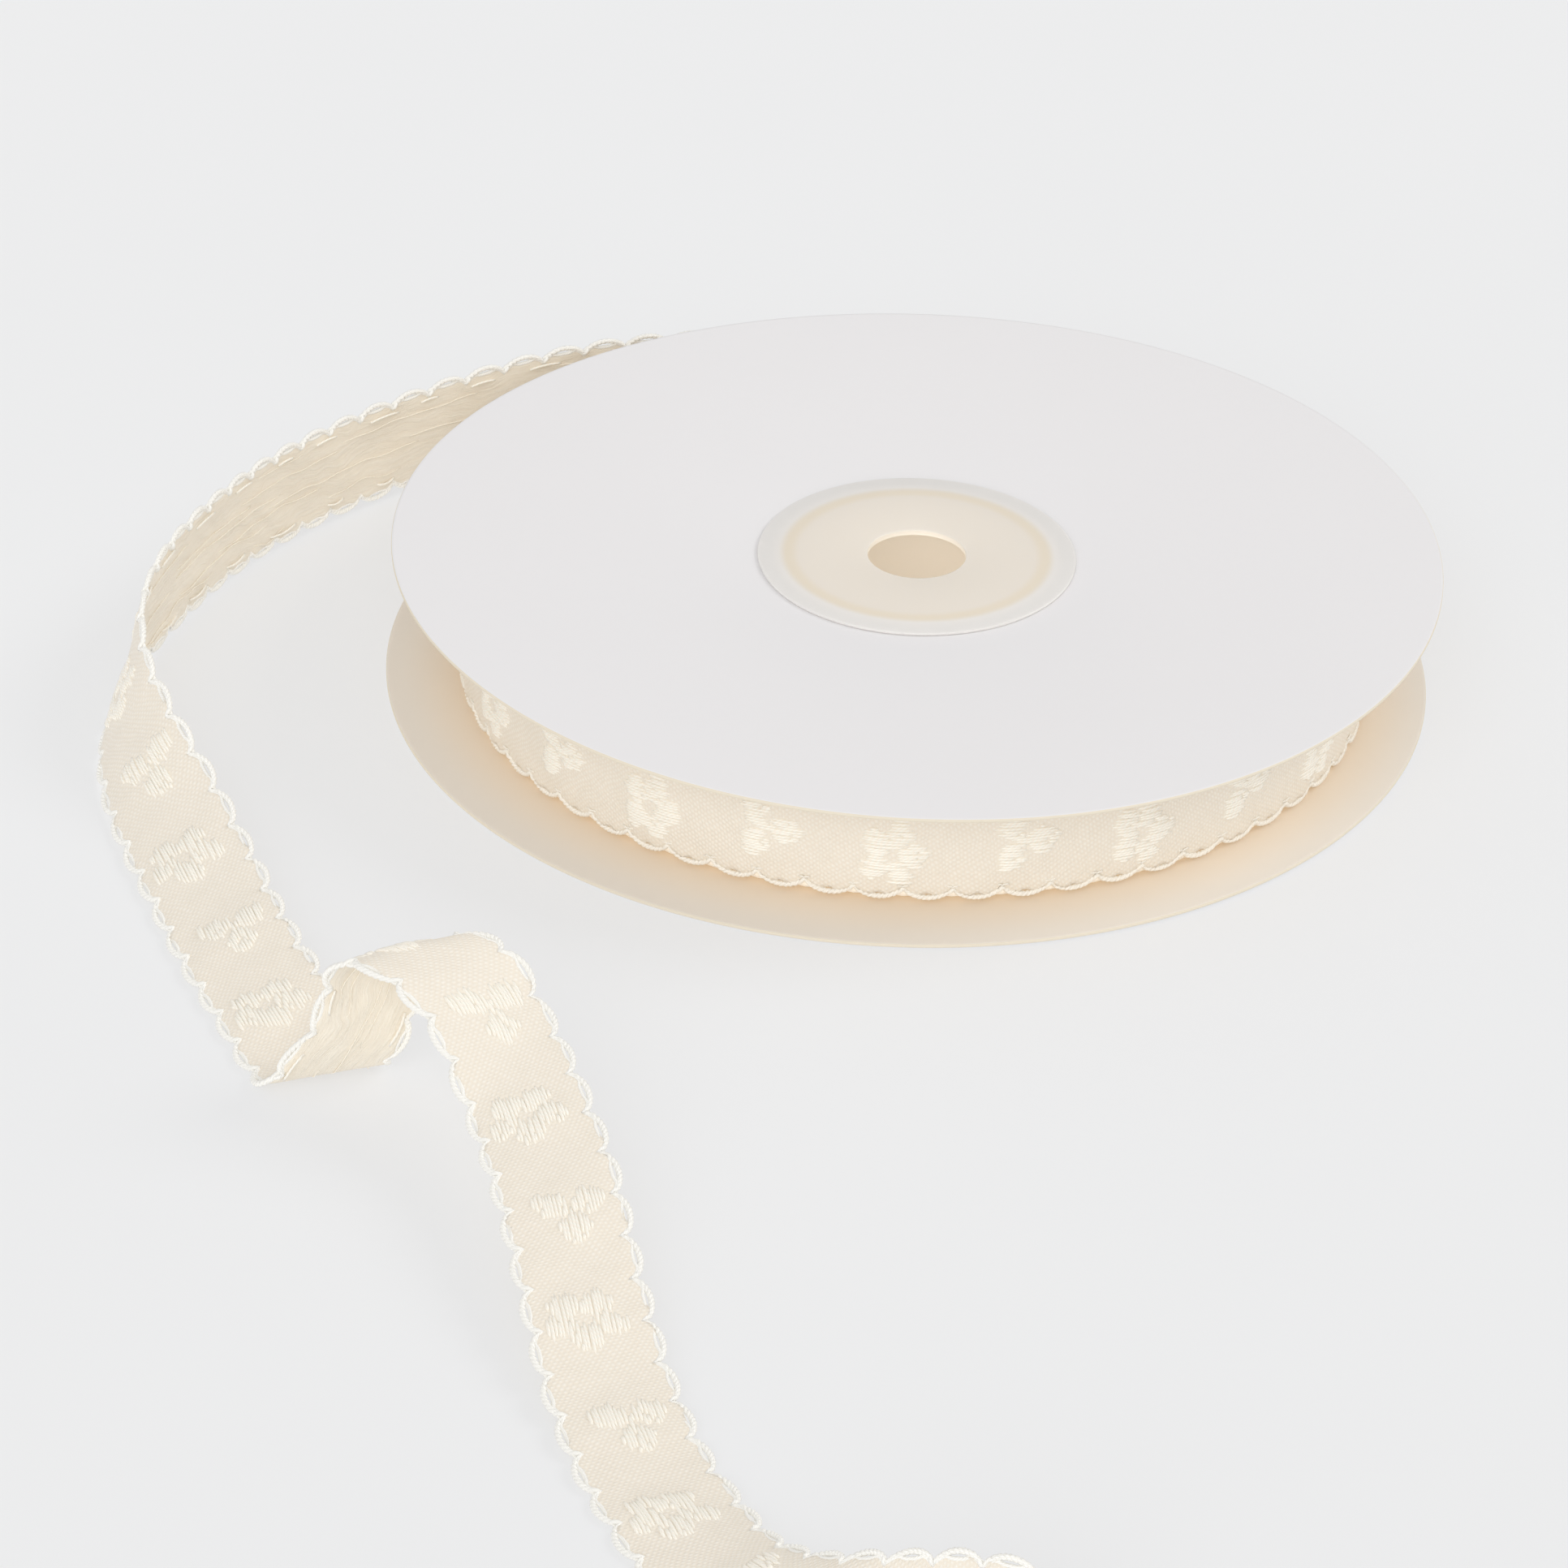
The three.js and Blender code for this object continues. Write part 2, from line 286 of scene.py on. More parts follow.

# Yarns: light and dark ply, painted as highlight on each ply and shade in the furrows, roughness, and
# the length of cord that one slanting ply takes
CORD = ((0.97, 0.965, 0.935), (0.90, 0.88, 0.82), 0.45, 0.3)
ROLL_CORD = ((0.96, 0.925, 0.85), (0.90, 0.845, 0.745), 0.45, 0.3)
GLOSS = ((0.975, 0.945, 0.865), (0.93, 0.875, 0.775), 0.3, 0.5)
BACK_GLOSS = ((0.955, 0.90, 0.79), (0.92, 0.845, 0.715), 0.4, 0.6)
# Painted glow of the yarns; the wound turns glow stronger and warmer, painted bounce light that lifts
# the shade under the winding
YARN_GLOW = 0.05
WOUND_GLOW = 0.27
GLOW_COLOR = (1.0, 0.9, 0.74, 1.0)
WOUND_GLOW_COLOR = (1.0, 0.82, 0.6, 1.0)

# Stitches of the ground: their pitch, slant and drift, along and across it
WEAVE_PITCH = (0.67, 0.5)
WEAVE_SLANT = 0.12
WEAVE_DRIFT = (0.8, -0.6)

# Cards: two close tones and roughness, and a warmer tone next to the winding that paints the warm bounce
# light and shade there
CARD_WHITE = ((0.85, 0.835, 0.84), (0.87, 0.855, 0.86), 0.6)
CARD_CREAM = ((0.84, 0.785, 0.71), (0.86, 0.805, 0.73), 0.6)
CARD_CUT = ((0.82, 0.74, 0.60), (0.84, 0.77, 0.64), 0.7)
CARD_PAINTED_BOUNCE = (0.87, 0.755, 0.62)
CARD_PAINTED_BOUNCE_PLACES = (ROLL_RADIUS - 0.5, CARD_RADIUS - 0.5)

# Hub: tones of its plate, a warm ring painted where the drum's wall shows through it, and how deep light
# goes
HUB_INSIDE = (0.83, 0.765, 0.68)
HUB_OVER_CARD = (0.865, 0.83, 0.79)
HUB_PAINTED_RING = (0.82, 0.735, 0.605)
HUB_OUTER_PLACES = (12.0, 13.2)
HUB_WALL_MIDDLE = DRUM_RADIUS - 0.35
HUB_WALL_FADE = (1.1, 0.1)
PLASTIC_DEPTH = 1.0

# Table and studio light; each sun has azimuth, elevation, spread, power and colour
WHITE = (1.0, 1.0, 1.0)
TABLE_REACH = 4000.0
TABLE_TONES = ((0.318, 0.321, 0.327), (0.338, 0.341, 0.347))
TABLE_GLOW = 0.52
STUDIO_STRENGTH = 0.64
SUNS = {
    "key": (15, 38, 30, 0.7, (1.0, 0.99, 0.97)),
    "front": (-105, 31, 50, 1.05, WHITE),
}
HUB_LAMP_POWER = 0.0011
HUB_LAMP_RADIUS = 4.0
HUB_LAMP_COLOR = (1.0, 1.0, 0.95)


# Small helpers

def smooth(low, high, value):
    """0 at the low value, 1 at the high one, eased at both ends."""
    share = np.clip((value - low) / (high - low), 0.0, 1.0)
    return share * share * (3 - 2 * share)


def lengths_along(line):
    """Length from the start of a line to each of its points."""
    strides = np.linalg.norm(np.diff(line, axis=0), axis=1)
    return np.concatenate([[0.0], np.cumsum(strides)])


def full_turn(steps):
    """Angles round a full circle, evenly spaced."""
    return np.linspace(0, 2 * math.pi, steps, endpoint=False)


def grid_faces(rows, columns, wrap_rows=False, wrap_columns=False, start=0, flip=False):
    """Quads of a grid whose points run along each row."""
    i = np.arange(rows if wrap_rows else rows - 1)[:, None]
    j = np.arange(columns if wrap_columns else columns - 1)[None, :]
    ahead = (i + 1) % rows
    nearby = (j + 1) % columns
    corners = [i * columns + j, ahead * columns + j, ahead * columns + nearby, i * columns + nearby]
    quads = np.stack(np.broadcast_arrays(*corners), -1).reshape(-1, 4) + start
    return (quads[:, ::-1] if flip else quads).tolist()


def link(thing):
    bpy.context.scene.collection.objects.link(thing)


def new_mesh(name, points, faces, materials, face_materials=None, uvs=None, masks=None):
    """An object from points in millimetres about the axis."""
    mesh = bpy.data.meshes.new(name)
    places = (np.asarray(points, float) + AXIS) * MM
    mesh.from_pydata(places.tolist(), [], faces)
    mesh.polygons.foreach_set("use_smooth", [True] * len(mesh.polygons))
    for material in materials:
        mesh.materials.append(material)
    if face_materials is not None:
        mesh.polygons.foreach_set("material_index", np.asarray(face_materials, np.int32))
    if uvs is not None:
        layer = mesh.uv_layers.new(name="cloth")
        corners = np.zeros(len(mesh.loops), np.int32)
        mesh.loops.foreach_get("vertex_index", corners)
        layer.data.foreach_set("uv", np.asarray(uvs, np.float32)[corners].ravel())
    if masks is not None:
        attribute = mesh.attributes.new("ornament", "FLOAT", "POINT")
        attribute.data.foreach_set("value", np.asarray(masks, np.float32))
    mesh.update()
    piece = bpy.data.objects.new(name, mesh)
    link(piece)
    return piece


def dress(piece, slot_name, *nodes):
    """Rides the piece on the part and hides the parts that it stands for."""
    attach(piece, "root")
    if nodes:
        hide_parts(*nodes)
    return piece


# Material helpers

def material_base(name, color, roughness, sheen=0.0, specular=0.5, glow_through=0.0):
    """A shader with its plain values set. Light that glows through travels about a millimetre."""
    material = bpy.data.materials.new(name)
    material.use_nodes = True
    shader = material.node_tree.nodes["Principled BSDF"]
    shader.inputs["Base Color"].default_value = (*color, 1.0)
    shader.inputs["Roughness"].default_value = roughness
    shader.inputs["Sheen Weight"].default_value = sheen
    shader.inputs["Specular IOR Level"].default_value = specular
    shader.inputs["Subsurface Weight"].default_value = glow_through
    shader.inputs["Subsurface Radius"].default_value = (1.0, 1.0, 1.0)
    shader.inputs["Subsurface Scale"].default_value = PLASTIC_DEPTH * MM
    return material, material.node_tree, shader


def add_own_glow(shader, strength, color=GLOW_COLOR):
    """A faint light of its own: on cloth and yarn a painted glow that stands in for light passing
    through them, on the table an evenly bright floor.
    """
    shader.inputs["Emission Color"].default_value = color
    shader.inputs["Emission Strength"].default_value = strength


def add_node(tree, kind, **values):
    """A node with values for its inputs, or for its own settings where no input has that name."""
    node = tree.nodes.new(kind)
    for key, value in values.items():
        if key in node.inputs:
            node.inputs[key].default_value = value
        else:
            setattr(node, key, value)
    return node


def plug(tree, socket, value):
    """Links a socket to the input, or sets the input to a number or a colour."""
    if isinstance(value, bpy.types.NodeSocket):
        tree.links.new(value, socket)
    elif isinstance(value, tuple):
        socket.default_value = (*value, 1.0)
    else:
        socket.default_value = value


def mix_colors(tree, factor, first, second):
    node = tree.nodes.new("ShaderNodeMix")
    node.data_type = "RGBA"
    for socket, value in zip((node.inputs[0], node.inputs[6], node.inputs[7]), (factor, first, second)):
        plug(tree, socket, value)
    return node.outputs[2]


def math_node(tree, operation, *values):
    node = tree.nodes.new("ShaderNodeMath")
    node.operation = operation
    for socket, value in zip(node.inputs, values):
        plug(tree, socket, value)
    return node.outputs[0]


def vector_node(tree, operation, vector, other=(0.0, 0.0, 0.0)):
    node = add_node(tree, "ShaderNodeVectorMath", operation=operation)
    tree.links.new(vector, node.inputs[0])
    node.inputs[1].default_value = other
    return node


def map_range(tree, value, low, high, interpolation="LINEAR"):
    """0 at the low value, 1 at the high one."""
    node = add_node(tree, "ShaderNodeMapRange", interpolation_type=interpolation)
    node.inputs["From Min"].default_value = low
    node.inputs["From Max"].default_value = high
    tree.links.new(value, node.inputs["Value"])
    return node.outputs[0]


def noise(tree, place, **values):
    texture = add_node(tree, "ShaderNodeTexNoise", **values)
    tree.links.new(place, texture.inputs["Vector"])
    return texture.outputs["Fac"]


def object_place(tree):
    return add_node(tree, "ShaderNodeTexCoord").outputs["Object"]


def own_place(tree):
    """The piece's own two coordinates in millimetres, together and one by one."""
    uv = add_node(tree, "ShaderNodeUVMap", uv_map="cloth").outputs[0]
    split = add_node(tree, "ShaderNodeSeparateXYZ")
    tree.links.new(uv, split.inputs[0])
    return uv, split.outputs[0], split.outputs[1]


def wave_of(tree, place, pitch):
    """Cosine of a place along the cloth, one wave to each pitch."""
    return math_node(tree, "COSINE", math_node(tree, "MULTIPLY", place, 2 * math.pi / pitch))


def add_bump(tree, shader, height, strength, distance):
    bump = add_node(tree, "ShaderNodeBump", Strength=strength, Distance=distance * MM)
    tree.links.new(height, bump.inputs["Height"])
    tree.links.new(bump.outputs[0], shader.inputs["Normal"])


# Materials

def woven_material(name, light, dark, under_ornament):
    """Ribbon ground: staggered rows of tiny raised stitches, darker low between them as painted shade,
    of another colour under the ornament.
    """
    material, tree, shader = material_base(name, light, 0.5, CLOTH_SHEEN, specular=0.4)
    uv, along, across = own_place(tree)
    drift = noise(tree, uv, Scale=0.35, Detail=2.0)
    slant = math_node(tree, "MULTIPLY_ADD", across, WEAVE_SLANT, along)
    row = math_node(tree, "MULTIPLY_ADD", drift, WEAVE_DRIFT[0], slant)
    column = math_node(tree, "MULTIPLY_ADD", drift, WEAVE_DRIFT[1], across)
    stitches = math_node(tree, "MULTIPLY", wave_of(tree, row, WEAVE_PITCH[0]),
                         wave_of(tree, column, WEAVE_PITCH[1]))
    ribs = math_node(tree, "MULTIPLY_ADD", wave_of(tree, row, WEAVE_PITCH[0] / 2), 0.15, 0.5)
    height = math_node(tree, "MULTIPLY_ADD", stitches, 0.35, ribs)
    uneven = noise(tree, uv, Scale=0.9, Detail=4.0, Roughness=0.65)
    depth = math_node(tree, "MULTIPLY", height, math_node(tree, "MULTIPLY_ADD", uneven, 1.1, 0.4))
    # Painted shade: darker where the stitches lie low, unevenly so by a noise
    ground = mix_colors(tree, depth, dark, light)
    ornament = add_node(tree, "ShaderNodeAttribute", attribute_name="ornament").outputs["Fac"]
    tree.links.new(mix_colors(tree, ornament, ground, under_ornament), shader.inputs["Base Color"])
    add_bump(tree, shader, height, strength=0.75, distance=0.08)
    # Painted glow, for light passing through the thin cloth
    add_own_glow(shader, FRONT_GLOW)
    return material


def combed_material(name, light, dark):
    """Ribbon back: long threads combed along it, seen as fine wavering streaks, darker where they lie
    low as painted shade.
    """
    material, tree, shader = material_base(name, light, 0.45, CLOTH_SHEEN, specular=0.4)
    uv, along, across = own_place(tree)
    drift = noise(tree, uv, Scale=0.16, Detail=2.0)
    combed = add_node(tree, "ShaderNodeCombineXYZ")
    tree.links.new(math_node(tree, "MULTIPLY", along, 0.07), combed.inputs[0])
    tree.links.new(math_node(tree, "MULTIPLY_ADD", drift, 3.5, across), combed.inputs[1])
    streaks = noise(tree, combed.outputs[0], Scale=2.8, Detail=5.0, Roughness=0.7)
    depth = map_range(tree, streaks, low=0.3, high=0.65)
    # Painted shade: darker where the streaks lie low
    tree.links.new(mix_colors(tree, depth, dark, light), shader.inputs["Base Color"])
    add_bump(tree, shader, streaks, strength=0.8, distance=0.25)
    # Painted glow, for light passing through the thin cloth
    add_own_glow(shader, BACK_GLOW)
    return material


def yarn_material(name, light, dark, roughness, ply_pitch, glow=YARN_GLOW, glow_color=GLOW_COLOR):
    """Twisted yarn with slanting plies, light on each ply as a painted highlight and dark in the furrows
    between them as painted shade.
    """
    material, tree, shader = material_base(name, light, roughness, CLOTH_SHEEN, specular=0.45)
    along, around = own_place(tree)[1:]
    slant = math_node(tree, "ADD", along, around)
    ply = math_node(tree, "MULTIPLY_ADD", wave_of(tree, slant, ply_pitch), 0.5, 0.5)
    # Painted highlight on the plies and painted shade in the furrows
    tree.links.new(mix_colors(tree, ply, dark, light), shader.inputs["Base Color"])
    add_bump(tree, shader, ply, strength=0.4, distance=0.04)
    # Painted glow that lifts the shade on and between the yarns; stronger on the wound turns as painted
    # bounce light
    add_own_glow(shader, glow, glow_color)
    return material


def card_material(name, light, dark, roughness, painted_bounce=None):
    """Smooth card with a very faint fibre and mottle, warmer where it lies next to the winding as
    painted bounce light and shade.
    """
    material, tree, shader = material_base(name, light, roughness, specular=0.3)
    place = object_place(tree)
    fibre = noise(tree, place, Scale=900.0, Detail=6.0, Roughness=0.7)
    mottle = noise(tree, place, Scale=60.0, Detail=2.0)
    color = mix_colors(tree, math_node(tree, "MULTIPLY", fibre, mottle), light, dark)
    # Painted bounce light and shade: warmer next to the winding, fading towards the rim
    if painted_bounce:
        color = mix_colors(tree, rimward(tree, place), painted_bounce, color)
    tree.links.new(color, shader.inputs["Base Color"])
    add_bump(tree, shader, fibre, strength=0.12, distance=0.06)
    return material


def rimward(tree, place):
    """0 next to the winding, 1 near the rim of the card."""
    about_axis = vector_node(tree, "SUBTRACT", place, (AXIS * MM).tolist())
    flat = vector_node(tree, "MULTIPLY", about_axis.outputs[0], (1.0, 1.0, 0.0))
    radius = vector_node(tree, "LENGTH", flat.outputs[0])
    near, far = CARD_PAINTED_BOUNCE_PLACES
    return map_range(tree, radius.outputs["Value"], near * MM, far * MM, "SMOOTHSTEP")


def hub_material(name):
    """Frosted plastic: whiter over the card, a soft warm ring painted where the drum's wall stands
    behind it, for the light the plastic lets through.
    """
    material, tree, shader = material_base(name, HUB_INSIDE, 0.35, specular=0.5, glow_through=0.4)
    radius = own_place(tree)[1]
    over_card = map_range(tree, radius, *HUB_OUTER_PLACES, "SMOOTHSTEP")
    off_wall = math_node(tree, "ABSOLUTE", math_node(tree, "SUBTRACT", radius, HUB_WALL_MIDDLE))
    # Painted show-through: a warm ring over the drum's wall
    painted_ring = map_range(tree, off_wall, *HUB_WALL_FADE, "SMOOTHSTEP")
    plate = mix_colors(tree, over_card, HUB_INSIDE, HUB_OVER_CARD)
    tree.links.new(mix_colors(tree, painted_ring, plate, HUB_PAINTED_RING), shader.inputs["Base Color"])
    grain = noise(tree, object_place(tree), Scale=2500.0, Detail=3.0)
    add_bump(tree, shader, grain, strength=0.15, distance=0.04)
    return material


# Ribbon surface: a place on the ribbon is (along, across, out), and a route turns it into a point

class Route:
    """Middle line, across and outward directions of a run of ribbon, by length along it."""

    def __init__(self, middle, across, outward, zero):
        self.along = lengths_along(middle)
        self.along -= self.along[zero]
        self.lines = (middle, across, outward)
        self.start = self.along[0]
        self.end = self.along[-1]

    def frame(self, along):
        """The three lines' values at each length along."""
        return [np.stack([np.interp(along, self.along, line[:, k]) for k in range(3)], -1)
                for line in self.lines]

    def at(self, along, across, out):
        """Points in millimetres for arrays of places on the ribbon."""
        middle, across_dir, out_dir = self.frame(along)
        return middle + across_dir * np.asarray(across)[..., None] + out_dir * np.asarray(out)[..., None]


def catmull_rom(points, samples):
    """A centripetal Catmull-Rom curve, each stretch with the same number of samples."""
    points = np.asarray(points, float)
    padded = np.vstack([2 * points[0] - points[1], points, 2 * points[-1] - points[-2]])
    stretches = len(points) - 1
    t = np.linspace(0, stretches, samples)
    index = np.minimum(t.astype(int), stretches - 1)
    u = (t - index)[:, None]
    p0, p1, p2, p3 = (padded[index + k] for k in range(4))
    d0, d1, d2 = (np.maximum(np.linalg.norm(b - a, axis=1), 1e-4)[:, None] ** 0.5
                  for a, b in ((p0, p1), (p1, p2), (p2, p3)))
    m1 = ((p1 - p0) / d0 - (p2 - p0) / (d0 + d1) + (p2 - p1) / d1) * d1
    m2 = ((p2 - p1) / d1 - (p3 - p1) / (d1 + d2) + (p3 - p2) / d2) * d1
    return p1 + m1 * u + (3 * (p2 - p1) - 2 * m1 - m2) * u**2 + (2 * (p1 - p2) + m1 + m2) * u**3


def lead_edges():
    """Both edges of the stretch that comes out from under the last turn, up to the first bend."""
    before = np.linspace(LEAD_ANGLE, LEAD_END, LEAD_STEPS)
    angle = TAIL_LEAVES - before
    ease = smooth(*LEAD_MERGE, before)
    first_bend = TAIL_BENDS[0][1:]
    away = math.hypot(*first_bend[0][:2]) - ROLL_MIDDLE
    radius = ROLL_MIDDLE - LEAD_DEPTH * (1 - smooth(*LEAD_SWAP, before)) + away * ease
    edges = []
    for side, place in zip((1, -1), first_bend):
        level = ROLL_CENTRE_HEIGHT + side * RIBBON_WIDTH / 2
        height = level + (place[2] - level) * ease
        edges.append(np.column_stack([radius * np.cos(angle), radius * np.sin(angle), height]))
    return edges


def tail_route():
    """The loose end, led back round the roll so that it is the last turn's own continuation."""
    curves = [catmull_rom([bend[edge] for bend in TAIL_BENDS], TAIL_SAMPLES) for edge in (1, 2)]
    high, low = (np.vstack([lead, curve]) for lead, curve in zip(lead_edges(), curves))
    middle = (high + low) / 2
    along = lengths_along(middle)
    settled = smooth(*SETTLE_PLACES, along - along[LEAD_STEPS])
    middle[:, 1] += SETTLE_BACK * settled
    middle[:, 2] -= SETTLE_DROP * settled
    across = (high - low) / RIBBON_WIDTH
    outward = np.cross(np.gradient(middle, axis=0), across)
    outward /= np.linalg.norm(outward, axis=1)[:, None]
    route = Route(middle, across, outward, LEAD_STEPS)
    first, bend, last = PATTERN_SHIFT_PLACES
    route.along += PATTERN_SHIFT * (smooth(first, bend, route.along) - smooth(bend, last, route.along))
    return route


def roll_route():
    """The last turn of the roll, from its seam at the back round to where the loose end takes over."""
    before = np.linspace(2 * math.pi, 0, ROLL_SAMPLES)
    angle = TAIL_LEAVES - before
    radius = ROLL_MIDDLE - TURN_PITCH * smooth(2 * math.pi - ROLL_SEAM, 2 * math.pi, before)
    radius -= LEAD_DEPTH * smooth(*LEAD_SWAP, before)
    outward = np.column_stack([np.cos(angle), np.sin(angle), np.zeros_like(angle)])
    middle = outward * radius[:, None] + np.array([0, 0, ROLL_CENTRE_HEIGHT])
    across = np.tile([0.0, 0.0, 1.0], (len(angle), 1))
    return Route(middle, across, outward, len(angle) - 1)


# Ornament: generic flowers and leaf sprigs, placed in a zigzag

def flower(x, y):
    y = y / ORNAMENT_STRETCH
    radius = np.hypot(x, y)
    angle = np.arctan2(y, x)
    petals = ORNAMENT_RADIUS * (1 - PETAL_NOTCH + PETAL_NOTCH * np.abs(np.cos(PETALS / 2 * angle)))
    return (radius < petals) & (radius > FLOWER_EYE)


def sprig(x, y):
    leaves = np.zeros(np.shape(x), bool)
    for turn in LEAF_TURNS:
        dx = x * math.cos(turn) + y * math.sin(turn) - LEAF_MIDDLE
        dy = y * math.cos(turn) - x * math.sin(turn)
        leaves |= np.abs(dy) < LEAF_HALF_WIDTH * np.clip(1 - (dx / LEAF_MIDDLE) ** 2, 0, None)
    return leaves


def ornament_places(along, across, start):
    """Whether the ornament at a place is a sprig, and where the place lies about its centre."""
    count = np.floor((np.asarray(along, float) - start) / ORNAMENT_PITCH)
    odd = np.mod(count, 2) > 0.5
    x = along - start - (count + 0.5) * ORNAMENT_PITCH
    y = across - np.where(odd, ORNAMENT_ZIGZAG, -ORNAMENT_ZIGZAG)
    return odd, x, y


def ornament_mask(along, across, start):
    """True where the ribbon carries raised threads."""
    odd, x, y = ornament_places(along, across, start)
    return np.where(odd, sprig(x, y), flower(x, y))


def relief(along, across, start):
    """How far the woven ground stands out of its plane."""
    x, y = ornament_places(along, across, start)[1:]
    puff = ORNAMENT_RELIEF * np.exp(-((x**2 + y**2) / ORNAMENT_RADIUS**2) ** 2)
    ripple = np.sin(along * RIPPLE_ALONG + RIPPLE_START)
    ripple *= np.cos(across * RIPPLE_ACROSS + along * RIPPLE_SLANT)
    edge = np.sin(math.pi * along / LOOP_PITCH + across) * (across / TIP_ACROSS) ** 4
    return puff + RIPPLE_HEIGHT * ripple + EDGE_WAVE * edge


# Ribbon pieces

def loop_share(along, loops):
    """Place within its loop, from 0 at one knot to 1 at the next."""
    return np.mod((along - loops[0]) / loops[1], 1.0)


def cord_across(share):
    """Distance of the edge cord from the ribbon's middle line."""
    bulge = np.clip(np.sin(math.pi * share), 0, 1) ** LOOP_ROUNDNESS
    return KNOT_ACROSS + (TIP_ACROSS - KNOT_ACROSS) * bulge


def ground_half(share, slit):
    """Half width of the woven ground: up to the cord, but for a slit in the middle of each loop."""
    depth, reach = slit
    inside_cord = cord_across(share) - STRAND_OFFSET
    return inside_cord - depth * np.exp(-((share - 0.5) / reach) ** 4)


def on_table(points):
    """Presses what would reach through the table flat above it."""
    height = points[:, 2]
    pressed = TABLE_GAP * np.exp(np.minimum(height / TABLE_GAP - 1, 0))
    return np.column_stack([points[:, :2], np.where(height < TABLE_GAP, pressed, height)])


def sheet_faces(rows, columns):
    """Faces of a closed sheet whose rows run over the front and return over the back."""
    ring = 2 * columns
    faces = grid_faces(rows, ring, wrap_columns=True)
    is_back = np.zeros((rows - 1, ring), int)
    is_back[:, columns - 1:ring - 1] = 1
    face_materials = is_back.ravel().tolist()
    last = (rows - 1) * ring
    for j in range(columns - 1):
        other = ring - 1 - j
        faces.append([j, j + 1, other - 1, other])
        faces.append([last + other, last + other - 1, last + j + 1, last + j])
        face_materials += [0, 0]
    return faces, face_materials


def woven_sheet(name, route, loops, slit, ornament_start, materials):
    """The woven ground as a closed thin sheet with a scalloped outline and rounded selvedges."""
    rows = int((route.end - route.start) / GRID_STEP) + 1
    along = np.linspace(route.start, route.end, rows)[:, None] * np.ones((1, SHEET_COLUMNS))
    spread = np.linspace(-1, 1, SHEET_COLUMNS)[None, :] * np.ones((rows, 1))
    across = spread * ground_half(loop_share(along, loops), slit)
    half = RIBBON_THICKNESS / 2 * (0.5 + 0.5 * np.sqrt(np.clip(1 - spread**8, 0, 1)))
    lift = relief(along, across, ornament_start)
    mask = ornament_mask(along, across, ornament_start)
    front = route.at(along, across, lift + half)
    back = route.at(along, across[:, ::-1], (lift * BACK_SHARE_OF_RELIEF - half)[:, ::-1])
    points = np.concatenate([front, back], axis=1)
    places = [np.stack([along, across], -1), np.stack([along, across[:, ::-1]], -1)]
    uvs = np.concatenate(places, axis=1).reshape(-1, 2)
    masks = np.concatenate([mask, np.zeros_like(mask)], axis=1).astype(float)
    faces, face_materials = sheet_faces(rows, SHEET_COLUMNS)
    points = on_table(points.reshape(-1, 3))
    return new_mesh(name, points, faces, materials, face_materials, uvs, masks.ravel())


class Tubes:
    """Collects thin closed tubes into one mesh."""

    def __init__(self):
        self.points = []
        self.faces = []
        self.uvs = []
        self.count = 0

    def add(self, line, outward, radii, sides):
        """A tube along a line of points that lies on a cloth facing outward, closed at both ends."""
        rows = len(line)
        direction = np.gradient(line, axis=0)
        direction /= np.linalg.norm(direction, axis=1)[:, None] + 1e-12
        side = np.cross(direction, outward)
        side /= np.linalg.norm(side, axis=1)[:, None]
        up = np.cross(direction, side)
        angles = full_turn(sides)
        ring = (side[:, None, :] * np.cos(angles)[None, :, None]
                + up[:, None, :] * np.sin(angles)[None, :, None])
        radii = np.broadcast_to(radii, (rows,))
        body = line[:, None, :] + ring * radii[:, None, None]
        lengths = lengths_along(line)[:, None]
        girth = angles[None, :] * radii.max()
        self.points.append(body.reshape(-1, 3))
        self.uvs.append(np.stack(np.broadcast_arrays(lengths, girth), -1).reshape(-1, 2))
        self.faces += grid_faces(rows, sides, wrap_columns=True, start=self.count, flip=True)
        last = self.count + (rows - 1) * sides
        self.faces.append(list(range(self.count + sides - 1, self.count - 1, -1)))
        self.faces.append(list(range(last, last + sides)))
        self.count += rows * sides

    def mesh(self, name, material):
        points = on_table(np.vstack(self.points))
        return new_mesh(name, points, self.faces, [material], uvs=np.vstack(self.uvs))


def thread(tubes, route, along, across, out, radii, sides=5):
    """One thread through places on the ribbon."""
    along, across, out = np.broadcast_arrays(along, across, out)
    tubes.add(route.at(along, across, out), route.frame(along)[2], radii, sides)


def along_edge(route, loops, steps_a_loop, margin):
    """Places along the whole edge, just short of both ends."""
    steps = int((route.end - route.start) / loops[1] * steps_a_loop)
    return np.linspace(route.start + margin, route.end - margin, steps)


def edge_cord(tubes, route, loops, side, trim, steps_a_loop):
    """Two twisted plies that follow the loops of one edge and dive into the ground at each knot."""
    along = along_edge(route, loops, steps_a_loop, margin=0.02)
    share = loop_share(along, loops)
    centre = cord_across(share) * trim
    knot = np.exp(-(np.minimum(share, 1 - share) / KNOT_SPREAD) ** 2)
    for ply in (0, 1):
        turn = 2 * math.pi * along / TWIST_PITCH + math.pi * ply
        pass_over = (KNOT_DIVE if ply else -KNOT_DIVE) * knot
        across = side * (centre + STRAND_OFFSET * np.cos(turn) * (1 - KNOT_PINCH * knot))
        thread(tubes, route, along, across, STRAND_OFFSET * np.sin(turn) + pass_over, STRAND_RADIUS)


def selvedge(tubes, route, loops, slit, side):
    """The firm strand that binds the ground's own edge, seen beside each slit."""
    along = along_edge(route, loops, SELVEDGE_STEPS, margin=0.05)
    across = side * (ground_half(loop_share(along, loops), slit) - SELVEDGE_INSET)
    thread(tubes, route, along, across, 0.0, SELVEDGE_RADIUS)


